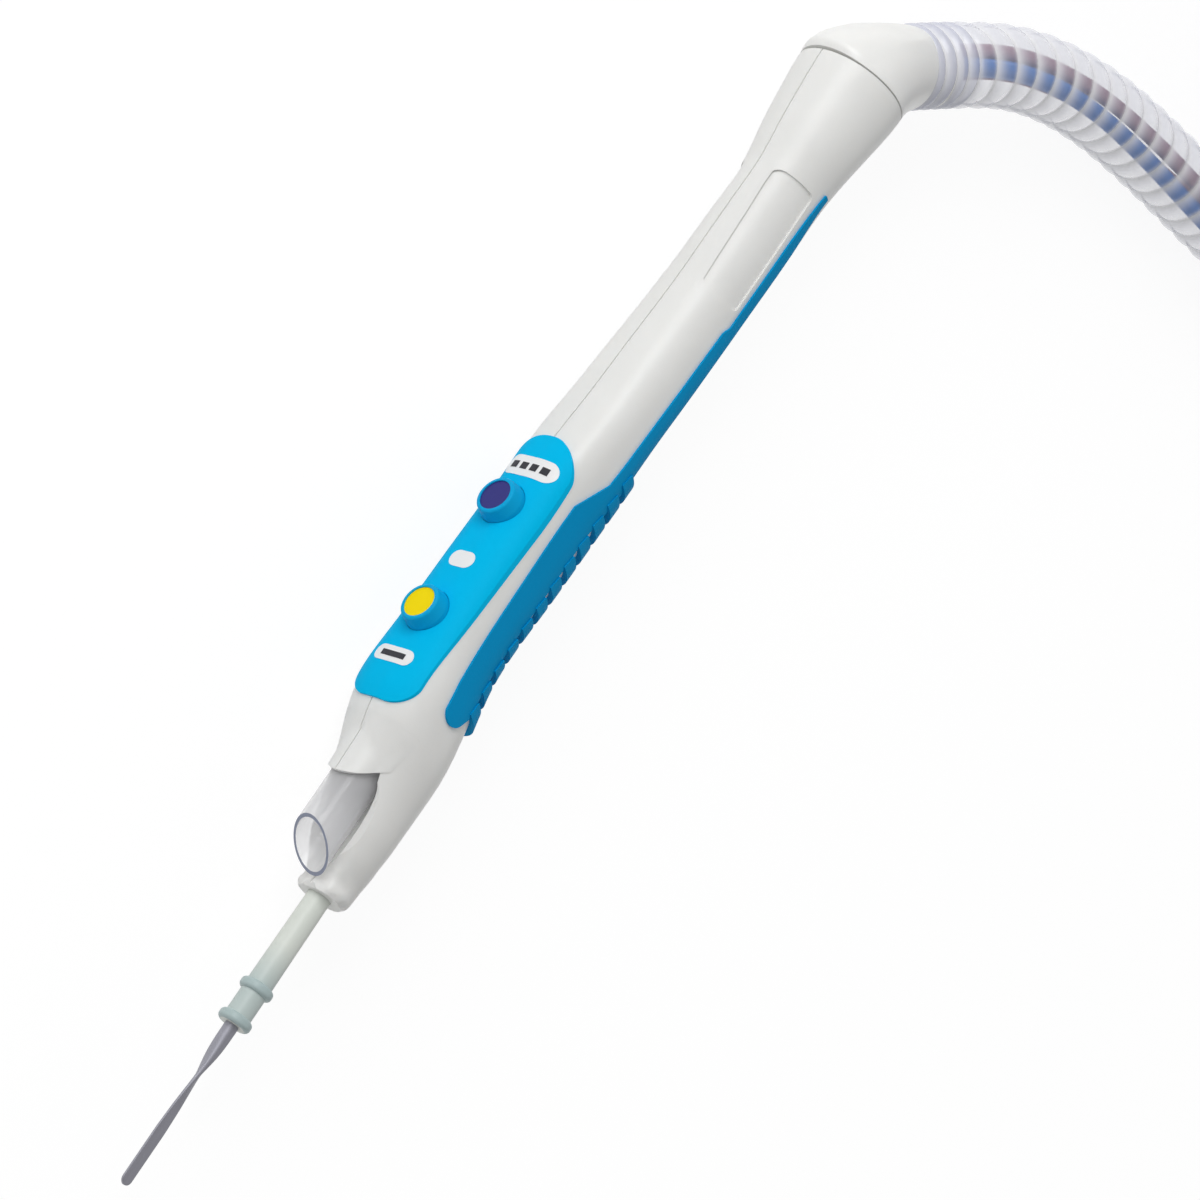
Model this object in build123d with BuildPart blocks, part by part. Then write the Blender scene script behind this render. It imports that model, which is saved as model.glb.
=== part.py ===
from build123d import *
import os
from math import cos, pi, radians, sin, tan

# Electrosurgical pencil with smoke suction, lying on its right side.
# +X runs to the electrode tip, the buttons face -Y and the left side is up.
# Sizes in millimetres.

# Handle
handle_length = 160.6
tail_radius = 9.8
wall = 1.5
running_gap = 0.08
seam_gap = 0.3
nose_radius = 4.4

# Smoke nozzle, a clear tube that slides in the nose
nozzle_radius = 4.0
nozzle_wall = 0.5
nozzle_length = 33.0
nozzle_setback = 4.8
nozzle_cut_slope = 0.8
nozzle_flange = 0.5
trough_margin = 1.4

# Electrode
shaft_radius = 1.19
sleeve_radius = 2.0
collar_radius = 2.83
electrode_reach = 54.0
blade_length = 19.5
blade_width = 2.5
blade_thickness = 0.5
neck_radius = 0.45
insertion_depth = 22.0
socket_wall = 1.2

# Button panel and grips
panel_half_width = 6.8
panel_proud = 0.4
panel_depth = 0.8
grip_depth = 0.6
rib_count = 12
rib_pitch = 4.1
rib_width = 2.6
rib_rise = 1.0
button_radius = 3.8
button_top_radius = 3.35
button_height = 2.5
button_travel = 0.6
disc_radius = 2.75
flange_overlap = 0.6
label_depth = 0.4
parting_width = 0.3

# Swivel elbow and hose
elbow_bend = 53.0
hose_radius = 7.2
hose_wall = 0.9
lead_radius = 2.2
spigot_length = 7.5

# Coil, end cuff and plug
coil_radius = 77.0
coil_layers = 3
tie_thickness = 1.0
tie_width = 12.0
port_radius = 11.0
cuff_length = 46.0
cable_radius = 2.25
pin_radius = 2.0
pin_pitch = 11.1
pin_length = 20.0
plug_length = 36.0
plug_thickness = 15.0

# The elbow bends towards the underside and ends in a barb inside the hose.
bend = radians(elbow_bend)
exit_distance = handle_length + 1.12 * tail_radius
exit_height = -0.80 * tail_radius
hose_bore = hose_radius - hose_wall
barb_radius = hose_bore - 0.05

# The origin is under the middle of the pencil's footprint.
tail_reach = exit_distance + spigot_length * cos(bend) + barb_radius * sin(bend)
belly_reach = spigot_length * sin(bend) + barb_radius * cos(bend) - exit_height
button_reach = 1.43 * tail_radius
nose_x = (tail_reach - electrode_reach) / 2
axis_y = (button_reach - belly_reach) / 2
axis_z = tail_radius
nose = (nose_x, axis_y, axis_z)
# Across the handle: x is height towards the buttons, y is to the left, z runs to the tail.
across = Plane(origin=nose, x_dir=(0, -1, 0), z_dir=(-1, 0, 0))
# Side of the handle: x runs to the tail, y is height towards the buttons, z is to the left.
side = Plane(origin=nose, x_dir=(-1, 0, 0), z_dir=(0, 0, 1))
# Top of the handle: x runs to the tail, z is height towards the buttons.
top = Plane(origin=nose, x_dir=(-1, 0, 0), z_dir=(0, -1, 0))
middle = Plane.XY.offset(axis_z)

electrode_height = -0.408 * tail_radius
nozzle_height = 0.383 * tail_radius

# Share of the handle's length, then centre height, half height and half width
# as shares of the tail radius, and how square the section is (2 is an ellipse).
nose_share = nose_radius / tail_radius
handle_sections = [
    (0.000, -0.408, nose_share, nose_share, 2.0),
    (0.044, -0.311, 0.560, 0.568, 2.0),
    (0.087, -0.179, 0.724, 0.735, 2.0),
    (0.125, -0.066, 0.827, 0.816, 2.0),
    (0.162, 0.102, 0.918, 0.888, 2.2),
    (0.193, 0.240, 0.890, 0.885, 2.6),
    (0.224, 0.325, 0.820, 0.855, 2.8),
    (0.255, 0.372, 0.765, 0.808, 2.8),
    (0.349, 0.350, 0.772, 0.750, 2.8),
    (0.455, 0.298, 0.768, 0.752, 2.8),
    (0.504, 0.285, 0.742, 0.790, 2.8),
    (0.560, 0.228, 0.718, 0.785, 2.6),
    (0.610, 0.163, 0.740, 0.776, 2.4),
    (0.710, 0.051, 0.755, 0.745, 2.2),
    (0.816, 0.000, 0.786, 0.745, 2.0),
    (0.872, 0.000, 0.786, 0.755, 2.0),
    (0.915, 0.026, 0.857, 0.857, 2.0),
    (0.953, 0.015, 0.934, 0.934, 2.0),
    (0.981, 0.005, 0.985, 0.985, 2.0),
    (1.000, 0.000, 1.000, 1.000, 2.0),
]
section_points = 16


def station(share):
    return share * handle_length


def at(distance, height, left=0.0):
    """World point from distance behind the nose, height towards the buttons and offset to the left."""
    return (nose_x - distance, axis_y - height, axis_z + left)


def top_height(distance):
    """Height of the handle's top line at a distance behind the nose."""
    for front, rear in zip(handle_sections, handle_sections[1:]):
        if station(front[0]) <= distance <= station(rear[0]):
            share = (distance - station(front[0])) / (station(rear[0]) - station(front[0]))
            ends = [(row[1] + row[2]) * tail_radius for row in (front, rear)]
            return ends[0] + share * (ends[1] - ends[0])


def outline(row, inset):
    """Points of one section, a rounded square drawn by its polar formula."""
    centre, half_height, half_width = (value * tail_radius for value in row[1:4])
    squareness = row[4]
    points = []
    for step in range(section_points):
        angle = 2 * pi * step / section_points
        reach_up = abs(cos(angle)) / (half_height - inset)
        reach_side = abs(sin(angle)) / (half_width - inset)
        reach = (reach_up**squareness + reach_side**squareness) ** (-1 / squareness)
        points.append((centre + reach * cos(angle), reach * sin(angle)))
    return points


def skin(inset):
    """The handle's outer form, offset inwards by inset."""
    with BuildPart() as form:
        for row in handle_sections:
            with BuildSketch(across.offset(station(row[0]))):
                with BuildLine():
                    Spline(*outline(row, inset), periodic=True)
                make_face()
        loft()
    return form.part


def save(piece, name):
    piece.part.label = name
    export_step(piece.part, f"parts/{name}.step")


def route_radii(points):
    """Arc radius at each inner point of a cord's route, as large as its shorter run allows."""
    radii = []
    for before, here, after in zip(points, points[1:], points[2:]):
        run_in = Vector(here) - Vector(before)
        run_out = Vector(after) - Vector(here)
        half_turn = radians(run_in.get_angle(run_out)) / 2
        radii.append(0.45 * min(run_in.length, run_out.length) / tan(half_turn))
    return radii


def cord(points, radius, bore=0.0):
    """A plain tube or rod along a route of straight runs and tangent arcs."""
    radii = route_radii(points)
    with BuildPart() as tube:
        with BuildLine() as route:
            FilletPolyline(*points, radius=radii)
        with BuildSketch(Plane(origin=points[0], z_dir=Vector(points[1]) - Vector(points[0]))):
            Circle(radius)
            if bore:
                Circle(bore, mode=Mode.SUBTRACT)
        sweep()
    length = sum(edge.length for edge in route.edges())
    ratio = tube.part.volume / (pi * (radius**2 - bore**2) * length)
    print(f"route {length:.0f} long, volume ratio {ratio:.4f}, radii", [round(r) for r in radii])
    return tube


os.makedirs("parts", exist_ok=True)

skin_outer = skin(0)
skin_inner = skin(wall)
skin_proud = skin(-panel_proud)
skin_panel_seat = skin(panel_depth)
skin_grip_seat = skin(grip_depth)
skin_label = skin(label_depth)
# The grip ribs stand out underneath and fade into the sides.
skin_ribs = skin_proud.moved(Location(top.z_dir * -rib_rise))

# Button panel
panel_start = station(0.177)
panel_end = station(0.498)
cut_station = station(0.278)
coag_station = station(0.411)
button_stations = (cut_station, coag_station)
hole_radius = button_radius + running_gap
flange_radius = button_radius + flange_overlap


def seat_height(distance):
    """Height of the flat seat under the panel that a button's flange rests on."""
    return top_height(distance) - panel_depth - 0.9


with BuildPart() as button_panel:
    with BuildSketch(top.offset(0.7 * tail_radius)) as panel_outline:
        with Locations(((panel_start + panel_end) / 2, 0)):
            Rectangle(panel_end - panel_start, 2 * panel_half_width)
        fillet(panel_outline.vertices().group_by(Axis.X)[0], radius=4.5)
        fillet(panel_outline.vertices().group_by(Axis.X)[-1], radius=6.3)
    extrude(amount=tail_radius)
    add(skin_proud, mode=Mode.INTERSECT)
    add(skin_panel_seat, mode=Mode.SUBTRACT)
    for distance in button_stations:
        seat = seat_height(distance)
        with BuildSketch(top.offset(seat)):
            with Locations((distance, 0)):
                Circle(flange_radius + 0.3)
        extrude(amount=top_height(distance) - seat - 0.5 * panel_depth)
        with BuildSketch(top):
            with Locations((distance, 0)):
                Circle(hole_radius)
        extrude(amount=2 * tail_radius, mode=Mode.SUBTRACT)
save(button_panel, "button_panel")

# Soft grips with ribs underneath and a stripe to the tail
grip_front = station(0.176)
stripe_end = station(0.878)
with BuildPart() as left_grip:
    with BuildSketch(side) as grip_outline:
        with BuildLine():
            Polyline(
                (station(0.205), 0.46 * tail_radius),
                (station(0.235), 0.51 * tail_radius),
                (station(0.448), 0.51 * tail_radius),
                (station(0.490), 0.17 * tail_radius),
                (station(0.692), -0.04 * tail_radius),
                (station(0.702), -0.12 * tail_radius),
                (station(0.810), -0.15 * tail_radius),
                (stripe_end, -0.22 * tail_radius),
                (stripe_end, -0.34 * tail_radius),
                (station(0.810), -0.40 * tail_radius),
                (station(0.700), -0.36 * tail_radius),
                (station(0.500), -0.24 * tail_radius),
                (station(0.440), -0.10 * tail_radius),
                (station(0.215), -0.10 * tail_radius),
                (grip_front, 0.25 * tail_radius),
                close=True,
            )
        make_face()
        fillet(grip_outline.vertices().group_by(Axis.X)[0], radius=2.5)
    extrude(amount=1.5 * tail_radius)
    add(skin_proud, mode=Mode.INTERSECT)
    with BuildPart(mode=Mode.PRIVATE) as grip_ribs:
        with BuildSketch(side):
            rib_start = station(0.222)
            for step in range(rib_count):
                with Locations((rib_start + step * rib_pitch, -0.50 * tail_radius)):
                    Rectangle(rib_width, 0.86 * tail_radius, rotation=-12)
        extrude(amount=1.5 * tail_radius)
        add(skin_ribs, mode=Mode.INTERSECT)
    add(grip_ribs.part)
    add(skin_grip_seat, mode=Mode.SUBTRACT)
save(left_grip, "left_grip")

with BuildPart() as right_grip:
    mirror(left_grip.part, about=middle)
save(right_grip, "right_grip")

# Handle shells, one hollow housing split along its middle
bulkhead_front = station(0.118)
bulkhead_rear = station(0.172)
groove_front = handle_length - 6.7
groove_rear = handle_length - 3.4
flange_clearance = 0.2
spigot_radius = 0.735 * tail_radius
swivel_flange_radius = 0.84 * tail_radius
socket_radius = shaft_radius + socket_wall
socket_start = 3.3
socket_end = station(0.168)
window_half_width = 5.2
window_start = panel_start + 10.0
window_end = panel_end - 6.0

with BuildPart() as chamber:
    add(skin_inner)
    with BuildSketch(across.offset(bulkhead_rear)):
        Rectangle(6 * tail_radius, 6 * tail_radius)
    extrude(amount=groove_front - bulkhead_rear, mode=Mode.INTERSECT)

with BuildPart() as housing:
    add(skin_outer)
    # Scoop over the nose that leaves the nozzle open to view
    with BuildSketch(side):
        with BuildLine():
            rim = Spline(
                (-2.0, -0.05 * tail_radius),
                (station(0.044), 0.06 * tail_radius),
                (station(0.087), 0.23 * tail_radius),
                (station(0.110), 0.45 * tail_radius),
                (station(0.116), 0.62 * tail_radius),
                (station(0.108), 1.05 * tail_radius),
            )
            Polyline(rim @ 1, (-2.0, 1.05 * tail_radius), rim @ 0)
        make_face()
    extrude(amount=1.5 * tail_radius, both=True, mode=Mode.SUBTRACT)
    # Trough that widens to the rear, and bore for the nozzle
    with BuildSketch(across.offset(-1)):
        with Locations((nozzle_height, 0)):
            Circle(nozzle_radius + running_gap)
    with BuildSketch(across.offset(bulkhead_front + 1)):
        with Locations((nozzle_height, 0)):
            Circle(nozzle_radius + trough_margin)
    loft(mode=Mode.SUBTRACT)
    with BuildSketch(across):
        with Locations((nozzle_height, 0)):
            Circle(nozzle_radius + running_gap)
    extrude(amount=bulkhead_rear + 1, mode=Mode.SUBTRACT)
    # Electrode bore in the nose and the seat of its socket
    with BuildSketch(across.offset(-1)):
        with Locations((electrode_height, 0)):
            Circle(sleeve_radius + running_gap)
    extrude(amount=socket_start + 1, mode=Mode.SUBTRACT)
    with BuildSketch(across.offset(socket_start - 0.1)):
        with Locations((electrode_height, 0)):
            Circle(socket_radius + 0.02)
    extrude(amount=bulkhead_rear, mode=Mode.SUBTRACT)
    add(chamber.part, mode=Mode.SUBTRACT)
    # Window under the button panel
    with BuildSketch(top):
        with Locations(((window_start + window_end) / 2, 0)):
            RectangleRounded(window_end - window_start, 2 * window_half_width, 2)
    extrude(amount=2 * tail_radius, mode=Mode.SUBTRACT)
    # Groove and lip that hold the swivel elbow
    with BuildSketch(across.offset(groove_front)):
        Circle(swivel_flange_radius + running_gap)
    extrude(amount=groove_rear - groove_front, mode=Mode.SUBTRACT)
    with BuildSketch(across.offset(groove_rear)):
        Circle(spigot_radius + running_gap)
    extrude(amount=handle_length - groove_rear, mode=Mode.SUBTRACT)
    for pad in (button_panel, left_grip, right_grip):
        add(pad.part, mode=Mode.SUBTRACT)
    # A shallow groove where the two shells meet, and a label recess on each side
    with BuildPart(mode=Mode.PRIVATE) as recesses:
        with BuildSketch(side):
            with Locations((handle_length / 2, 0)):
                Rectangle(1.2 * handle_length, 4 * tail_radius)
        extrude(amount=parting_width / 2, both=True)
        with BuildSketch(side):
            with Locations((station(0.791), 0.33 * tail_radius)):
                RectangleRounded(0.15 * handle_length, 0.72 * tail_radius, 1.2)
        extrude(amount=1.5 * tail_radius, both=True)
        add(skin_label, mode=Mode.SUBTRACT)
    add(recesses.part, mode=Mode.SUBTRACT)

with BuildPart() as left_shell:
    add(housing.part)
    split(bisect_by=middle, keep=Keep.TOP)
save(left_shell, "left_shell")

with BuildPart() as right_shell:
    add(housing.part)
    split(bisect_by=middle, keep=Keep.BOTTOM)
save(right_shell, "right_shell")


# Buttons with coloured discs
button_rise = button_height + panel_proud
disc_depth = 0.5
flange_thickness = 0.5
nub_radius = 1.1


def make_button(distance, name):
    """One button, its disc and the snap dome below it."""
    seat = seat_height(distance)
    crown = top_height(distance) + button_rise
    skirt = crown - button_height + 0.3
    with BuildPart() as button:
        with BuildSketch(top.offset(seat - flange_thickness)):
            with Locations((distance, 0)):
                Circle(flange_radius)
        extrude(amount=flange_thickness)
        with BuildSketch(top.offset(seat)):
            with Locations((distance, 0)):
                Circle(button_radius)
        extrude(amount=skirt - seat)
        with BuildSketch(top.offset(skirt)):
            with Locations((distance, 0)):
                Circle(button_radius)
        with BuildSketch(top.offset(crown)):
            with Locations((distance, 0)):
                Circle(button_top_radius)
        loft()
        fillet(button.edges().filter_by(GeomType.CIRCLE).sort_by(Axis.Y)[0], radius=0.45)
        with BuildSketch(top.offset(crown - disc_depth)):
            with Locations((distance, 0)):
                Circle(disc_radius)
        extrude(amount=disc_depth, mode=Mode.SUBTRACT)
        nub_end = board_top + dome_height + button_travel + 0.05
        with BuildSketch(top.offset(nub_end)):
            with Locations((distance, 0)):
                Circle(nub_radius)
        extrude(amount=seat - nub_end)
    save(button, f"{name}_button")
    with BuildPart() as disc:
        with BuildSketch(top.offset(crown - disc_depth)):
            with Locations((distance, 0)):
                Circle(disc_radius)
        extrude(amount=disc_depth - 0.2)
    save(disc, f"{name}_button_disc")
    with BuildPart() as dome:
        with BuildSketch(top.offset(board_top)):
            with Locations((distance, 0)):
                Circle(dome_radius)
        extrude(amount=dome_height, taper=50)
    save(dome, f"{name}_dome")


# Switch board on its tray, inside the handle
tray_bottom = 0.50 * tail_radius
tray_thickness = 1.2
board_thickness = 1.0
board_top = tray_bottom + tray_thickness + board_thickness
board_half_width = 4.6
board_start = cut_station - 5.0
board_end = coag_station + 6.0
dome_radius = 2.6
dome_height = 0.4
tray_start = board_start - 1.0
tray_end = board_end + 1.0

with BuildPart() as switch_tray:
    with BuildSketch(top.offset(tray_bottom)):
        with Locations(((tray_start + tray_end) / 2, 0)):
            Rectangle(tray_end - tray_start, 2 * tail_radius)
    extrude(amount=tray_thickness)
    add(skin(wall + 0.1), mode=Mode.INTERSECT)
save(switch_tray, "switch_tray")

with BuildPart() as switch_board:
    with BuildSketch(top.offset(tray_bottom + tray_thickness)):
        with Locations(((board_start + board_end) / 2, 0)):
            Rectangle(board_end - board_start, 2 * board_half_width)
    extrude(amount=board_thickness)
save(switch_board, "switch_board")

make_button(cut_station, "cut")
make_button(coag_station, "coag")

# Clear nozzle, cut at a slant, with a flange that keeps it in the handle
nozzle_end = nozzle_setback + nozzle_length
with BuildPart() as smoke_nozzle:
    with BuildSketch(across):
        with Locations((nozzle_height, 0)):
            Circle(nozzle_radius)
    extrude(amount=nozzle_end)
    with BuildSketch(across.offset(nozzle_end - 1.0)):
        with Locations((nozzle_height, 0)):
            Circle(nozzle_radius + nozzle_flange)
    extrude(amount=1.0)
    with BuildSketch(across):
        with Locations((nozzle_height, 0)):
            Circle(nozzle_radius - nozzle_wall)
    extrude(amount=nozzle_end, mode=Mode.SUBTRACT)
    with BuildSketch(side):
        reach = 2 * nozzle_radius
        with BuildLine():
            Polyline(
                (nozzle_setback - reach * nozzle_cut_slope, nozzle_height - reach),
                (nozzle_setback + reach * nozzle_cut_slope, nozzle_height + reach),
                (-reach, nozzle_height + reach),
                (-reach, nozzle_height - reach),
                close=True,
            )
        make_face()
    extrude(amount=2 * nozzle_radius, both=True, mode=Mode.SUBTRACT)
save(smoke_nozzle, "smoke_nozzle")

# Electrode: a turned shaft drawn down to a neck and coined flat into a blade
neck_station = blade_length - electrode_reach
cone_station = neck_station + 7.4
sleeve_start = cone_station + 2.8
with BuildPart() as electrode_blade:
    with BuildSketch(side):
        with BuildLine():
            Polyline(
                (neck_station - 0.5, electrode_height),
                (neck_station - 0.5, electrode_height + neck_radius),
                (neck_station, electrode_height + neck_radius),
                (cone_station, electrode_height + shaft_radius),
                (insertion_depth, electrode_height + shaft_radius),
                (insertion_depth, electrode_height),
                close=True,
            )
        make_face()
    revolve(axis=Axis(at(0, electrode_height), (1, 0, 0)))
    with BuildSketch(side.offset(-blade_thickness / 2)) as blade_outline:
        with BuildLine():
            Polyline(
                (neck_station + 1.0, electrode_height + neck_radius),
                (neck_station - 0.6, electrode_height + neck_radius),
                (neck_station - 3.0, electrode_height + blade_width / 2),
                (-electrode_reach, electrode_height + blade_width / 2),
                (-electrode_reach, electrode_height - blade_width / 2),
                (neck_station - 3.0, electrode_height - blade_width / 2),
                (neck_station - 0.6, electrode_height - neck_radius),
                (neck_station + 1.0, electrode_height - neck_radius),
                close=True,
            )
        make_face()
        fillet(blade_outline.vertices().group_by(Axis.X)[0], radius=0.48 * blade_width)
    extrude(amount=blade_thickness)
save(electrode_blade, "electrode_blade")

collar_length = 1.7
rear_collar = sleeve_start + 5.9
with BuildPart() as electrode_sleeve:
    with BuildSketch(across.offset(sleeve_start)):
        with Locations((electrode_height, 0)):
            Circle(sleeve_radius)
    extrude(amount=socket_start - 0.2 - sleeve_start)
    for start in (sleeve_start, rear_collar):
        with BuildSketch(across.offset(start)):
            with Locations((electrode_height, 0)):
                Circle(collar_radius)
        extrude(amount=collar_length)
    rims = electrode_sleeve.edges().filter_by(GeomType.CIRCLE)
    fillet([rim for rim in rims if rim.radius > 0.95 * collar_radius], radius=0.65)
    with BuildSketch(across.offset(sleeve_start)):
        with Locations((electrode_height, 0)):
            Circle(shaft_radius + 0.01)
    extrude(amount=socket_start - sleeve_start, mode=Mode.SUBTRACT)
save(electrode_sleeve, "electrode_sleeve")

with BuildPart() as electrode_socket:
    with BuildSketch(across.offset(socket_start)):
        with Locations((electrode_height, 0)):
            Circle(socket_radius)
            Circle(shaft_radius + 0.03, mode=Mode.SUBTRACT)
    extrude(amount=socket_end - socket_start)
save(electrode_socket, "electrode_socket")

# Wiring inside the handle
lead_start = tray_end + 0.4
lead_height = tray_bottom + 0.6
wire_radius = 0.6
wire_route = [
    at(socket_end, electrode_height),
    at(socket_end + 6, electrode_height + 0.8),
    at(socket_end + 16, electrode_height + 2.8),
    at(lead_start - 14, lead_height - 3.6),
    at(lead_start - 6, lead_height - 1.2),
    at(lead_start, lead_height - 1.2),
]
active_wire = cord(wire_route, wire_radius)
save(active_wire, "active_wire")

lead_route = [
    at(lead_start, lead_height),
    at(lead_start + 8, lead_height),
    at(lead_start + 24, 0.3 * lead_height),
    at(lead_start + 44, 0.2),
    at(lead_start + 62, 0.0),
    at(handle_length - 0.4, 0.05),
]
handle_lead = cord(lead_route, lead_radius)
save(handle_lead, "handle_lead")

# Swivel elbow, held by its flange in the tail
collar_start = handle_length + seam_gap
collar_depth = 0.6
exit_direction = (-cos(bend), sin(bend), 0)
exit_point = at(exit_distance, exit_height)
exit_plane = Plane(origin=exit_point, x_dir=(-sin(bend), -cos(bend), 0), z_dir=exit_direction)
half_bend = bend / 2
knee_plane = Plane(
    origin=at(handle_length + 0.66 * tail_radius, -0.26 * tail_radius),
    x_dir=(-sin(half_bend), -cos(half_bend), 0),
    z_dir=(-cos(half_bend), sin(half_bend), 0),
)
elbow_bore = spigot_radius - 1.4
barb_bore = barb_radius - 1.1

with BuildPart() as elbow_passage:
    with BuildSketch(across.offset(collar_start + 0.5)):
        Circle(elbow_bore)
    with BuildSketch(knee_plane):
        Circle(0.93 * elbow_bore)
    with BuildSketch(exit_plane):
        Circle(barb_bore)
    loft()

with BuildPart() as swivel_elbow:
    with BuildSketch(across.offset(collar_start + collar_depth)):
        Circle(tail_radius)
    with BuildSketch(knee_plane):
        Circle(0.90 * tail_radius)
    with BuildSketch(exit_plane):
        Circle(hose_radius)
    loft()
    with BuildSketch(across.offset(collar_start)):
        Circle(tail_radius)
    extrude(amount=collar_depth)
    with BuildSketch(across.offset(groove_front + flange_clearance)):
        Circle(spigot_radius)
    extrude(amount=collar_start - groove_front)
    with BuildSketch(across.offset(groove_front + flange_clearance)):
        Circle(swivel_flange_radius)
    extrude(amount=groove_rear - groove_front - 2 * flange_clearance)
    with BuildSketch(exit_plane):
        Circle(barb_radius)
    extrude(amount=spigot_length)
    add(elbow_passage.part, mode=Mode.SUBTRACT)
    with BuildSketch(across.offset(groove_front)):
        Circle(elbow_bore)
    extrude(amount=collar_start + 0.5 - groove_front, mode=Mode.SUBTRACT)
    with BuildSketch(exit_plane):
        Circle(barb_bore)
    extrude(amount=spigot_length, mode=Mode.SUBTRACT)
save(swivel_elbow, "swivel_elbow")

# Hose from the elbow to its coil, with the lead inside
hose_rest = hose_radius + 0.1
hose_steps = [
    (0.0, 0.0, axis_z),
    (-8.5, 11.3, axis_z),
    (-16.7, 25.1, axis_z - 0.8),
    (-23.6, 41.7, hose_rest + 0.8),
    (-29.4, 60.9, hose_rest),
    (-35.7, 88.4, hose_rest),
    (-42.7, 117.9, hose_rest),
    (-49.4, 148.7, hose_rest),
]
hose_route = [(exit_point[0] + x, exit_point[1] + y, z) for x, y, z in hose_steps]
hose = cord(hose_route, hose_radius, hose_bore)
save(hose, "hose")

lead_in_hose = [
    at(handle_length, 0),
    at(handle_length + 0.46 * tail_radius, -0.06 * tail_radius),
    at(handle_length + 0.84 * tail_radius, -0.53 * tail_radius),
    *hose_route[1:],
]
hose_lead = cord(lead_in_hose, lead_radius)
save(hose_lead, "hose_lead")

# Coil of the rest of the hose, tied in two places
coil_centre = (exit_point[0] - 130.5, exit_point[1] + 126.9)
coil_width = 4 * hose_radius + 0.4
coil_height = 2 * coil_layers * hose_radius + 0.4
with BuildPart() as hose_coil:
    with BuildSketch(Plane(origin=(*coil_centre, tie_thickness), x_dir=(1, 0, 0), z_dir=(0, -1, 0))):
        with Locations((coil_radius, coil_height / 2)):
            RectangleRounded(coil_width, coil_height, 0.6 * hose_radius)
    revolve(axis=Axis((*coil_centre, 0), (0, 0, 1)))
save(hose_coil, "hose_coil")

tie_reach = coil_width + 2 * tie_thickness + 0.9
for name, angle in (("front_tie", 80), ("rear_tie", 195)):
    tie_plane = Plane(
        origin=(
            coil_centre[0] + coil_radius * cos(radians(angle)),
            coil_centre[1] + coil_radius * sin(radians(angle)),
            tie_thickness + coil_height / 2,
        ),
        x_dir=(cos(radians(angle)), sin(radians(angle)), 0),
        z_dir=(-sin(radians(angle)), cos(radians(angle)), 0),
    )
    with BuildPart() as tie:
        with BuildSketch(tie_plane):
            RectangleRounded(tie_reach, coil_height + 2 * tie_thickness, 0.6 * hose_radius + 1)
            RectangleRounded(
                tie_reach - 2 * tie_thickness, coil_height + 0.04, 0.6 * hose_radius, mode=Mode.SUBTRACT
            )
        extrude(amount=tie_width / 2, both=True)
    save(tie, name)


def polar(angle, reach, height):
    """World point at an angle and distance from the coil's centre."""
    turn = radians(angle)
    return (coil_centre[0] + reach * cos(turn), coil_centre[1] + reach * sin(turn), height)


# End of the hose, which rises onto the coil
coil_top = tie_thickness + coil_height
cuff_radius = port_radius + 1.6
cuff_height = coil_top + cuff_radius + 0.1
tail_route = [
    polar(-80, coil_radius - 6, coil_top - hose_radius),
    polar(-60, coil_radius - 5, coil_top - 0.6 * hose_radius),
    polar(-40, coil_radius - 3.5, coil_top + 0.35 * hose_radius),
    polar(-21, coil_radius - 2, coil_top + 1.2 * hose_radius),
    polar(-3, coil_radius - 1, cuff_height),
    polar(13, coil_radius, cuff_height),
]
hose_tail = cord(tail_route, hose_radius, hose_bore)
save(hose_tail, "hose_tail")

# Cuff for the suction port, with a branch for the cable
cuff_origin = Vector(tail_route[-1])
cuff_axis = cuff_origin - Vector(tail_route[-2])
cuff_axis = Vector(cuff_axis.X, cuff_axis.Y, 0).normalized()
inward = Vector(-cuff_axis.Y, cuff_axis.X, 0)
cuff_plane = Plane(origin=cuff_origin, x_dir=(0, 0, 1), z_dir=cuff_axis)
sleeve_length = 8.0
neck_length = 9.0
cone_length = 6.0
neck_outer = hose_radius + 1.5
branch_axis = (inward * 0.9 + cuff_axis * 0.44).normalized()
branch_plane = Plane(
    origin=cuff_origin + cuff_axis * 0.3 * neck_length,
    x_dir=(0, 0, 1),
    z_dir=branch_axis,
)
branch_length = 16.0
branch_radius = cable_radius + 2.0
with BuildPart() as end_cuff:
    with BuildSketch(cuff_plane.offset(-sleeve_length)):
        Circle(neck_outer)
    extrude(amount=sleeve_length + neck_length)
    with BuildSketch(cuff_plane.offset(neck_length)):
        Circle(neck_outer)
    with BuildSketch(cuff_plane.offset(neck_length + cone_length)):
        Circle(cuff_radius)
    loft()
    with BuildSketch(cuff_plane.offset(neck_length + cone_length)):
        Circle(cuff_radius)
    extrude(amount=cuff_length - sleeve_length - neck_length - cone_length)
    with BuildSketch(branch_plane):
        Circle(branch_radius)
    extrude(amount=branch_length)
    with BuildSketch(cuff_plane.offset(-sleeve_length)):
        Circle(hose_radius + 0.1)
    extrude(amount=sleeve_length, mode=Mode.SUBTRACT)
    with BuildSketch(cuff_plane):
        Circle(hose_bore - 0.5)
    extrude(amount=cuff_length, mode=Mode.SUBTRACT)
    with BuildSketch(cuff_plane.offset(neck_length + cone_length)):
        Circle(port_radius)
    extrude(amount=cuff_length, mode=Mode.SUBTRACT)
    with BuildSketch(branch_plane):
        Circle(cable_radius + 0.1)
    extrude(amount=branch_length, mode=Mode.SUBTRACT)
save(end_cuff, "end_cuff")

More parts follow.
